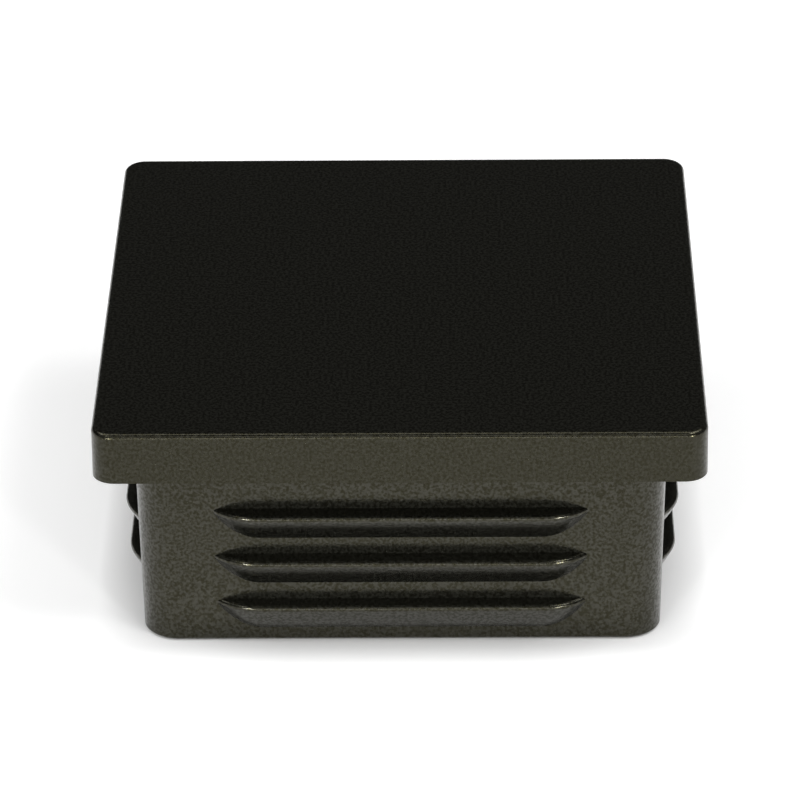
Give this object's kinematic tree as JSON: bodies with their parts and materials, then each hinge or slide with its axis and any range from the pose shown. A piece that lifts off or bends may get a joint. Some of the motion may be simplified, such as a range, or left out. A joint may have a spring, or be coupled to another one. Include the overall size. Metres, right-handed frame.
{
  "type": "tube end cap",
  "caption": "Square end cap for box-section tube: a flat head over a hollow ribbed skirt that presses into the tube.",
  "frame": {"origin": "centre of the seat, the plane of the head's underside that bears on the tube's end", "axes": "+Z out of the tube through the head; +X and +Y square to the side walls"},
  "size_m": [0.04, 0.04, 0.0173],
  "materials": {
    "black_polyethylene": "as moulded, fine matt texture"
  },
  "bodies": {
    "root": {"end_cap": "black_polyethylene"}
  },
  "joints": []
}
